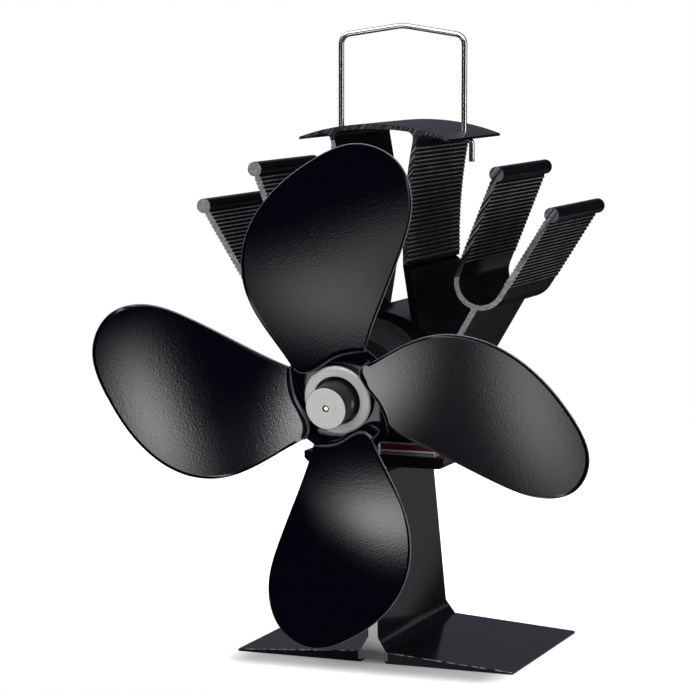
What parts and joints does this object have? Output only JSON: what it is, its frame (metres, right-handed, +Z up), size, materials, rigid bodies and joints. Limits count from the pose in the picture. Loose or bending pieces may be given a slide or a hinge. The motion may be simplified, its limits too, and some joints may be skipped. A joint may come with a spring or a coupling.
{
  "type": "stove fan",
  "caption": "Heat-powered stove-top fan: black aluminium stand and finned heat sink around a small motor, with a four-blade fan in front and a wire carrying handle.",
  "frame": {"origin": "on the surface it stands on, under the middle of the whole fan's bounding box", "axes": "+X to the right seen from the front, +Y to the back, away from the fan blades, +Z up"},
  "size_m": [0.1794, 0.1272, 0.225],
  "materials": {
    "base_anodised": "satin black anodised, bare at the cut ends",
    "sink_anodised": "satin black anodised, bare at the cut ends",
    "blade_black": "satin black with a fine grain",
    "hub_aluminium": "turned, bare",
    "screw_steel": "blackened",
    "shaft_steel": "ground",
    "handle_chrome": "bright chromed wire",
    "strip_bimetal": "rolled, dull",
    "rivet_steel": "plain",
    "ceramic_white": "fired alumina",
    "pellet_grey": "dull grey semiconductor",
    "seal_red": "dark red silicone",
    "sheet_graphite": "graphite foil",
    "clamp_steel": "zinc plated",
    "bush_plastic": "natural moulded plastic",
    "sleeve_plastic": "black moulded plastic",
    "can_black": "blackened steel",
    "cap_plastic": "natural moulded plastic",
    "bearing_bronze": "sintered bronze",
    "magnet_ferrite": "ferrite",
    "core_steel": "stacked laminations",
    "coil_copper": "enamelled copper wire",
    "commutator_copper": "turned copper",
    "brush_bronze": "spring bronze",
    "terminal_tin": "tinned",
    "lead_red": "silicone insulation",
    "lead_black": "silicone insulation"
  },
  "bodies": {
    "stand": {"base_stand": "base_anodised", "heat_sink": "sink_anodised", "strip_rivet": "rivet_steel", "module_hot_plate": "ceramic_white", "module_cold_plate": "ceramic_white", "module_pellets": "pellet_grey", "module_seal": "seal_red", "hot_side_sheet": "sheet_graphite", "cold_side_sheet": "sheet_graphite", "clamp_screws": "clamp_steel", "clamp_bushes": "bush_plastic", "motor_sleeve": "sleeve_plastic", "motor_can": "can_black", "motor_end_cap": "cap_plastic", "motor_front_bearing": "bearing_bronze", "motor_rear_bearing": "bearing_bronze", "motor_magnets": "magnet_ferrite", "motor_brushes": "brush_bronze", "motor_terminals": "terminal_tin", "lead_red": "lead_red", "lead_black": "lead_black"},
    "rotor": {"motor_shaft": "shaft_steel", "armature_core": "core_steel", "armature_coils": "coil_copper", "commutator": "commutator_copper", "fan_blades": "blade_black", "hub_bush": "hub_aluminium", "grub_screw": "screw_steel"},
    "handle": {"carry_handle": "handle_chrome"},
    "strip": {"safety_strip": "strip_bimetal"}
  },
  "joints": [
    {"name": "fan_spin", "type": "hinge", "parent": "stand", "child": "rotor", "pos_m": [0, -0.04276, 0.09815], "axis": [0, -0.9874, -0.1582], "continuous": true},
    {"name": "handle_slide", "type": "slide", "parent": "stand", "child": "handle", "axis": [0, 0, 1], "range_m": [-0.028, 0]},
    {"name": "strip_flex", "type": "hinge", "parent": "stand", "child": "strip", "pos_m": [0, 0.03984, 0.0008], "axis": [1, 0, 0], "range_deg": [0, 2], "stiffness_Nm_per_rad": 0.2}
  ]
}
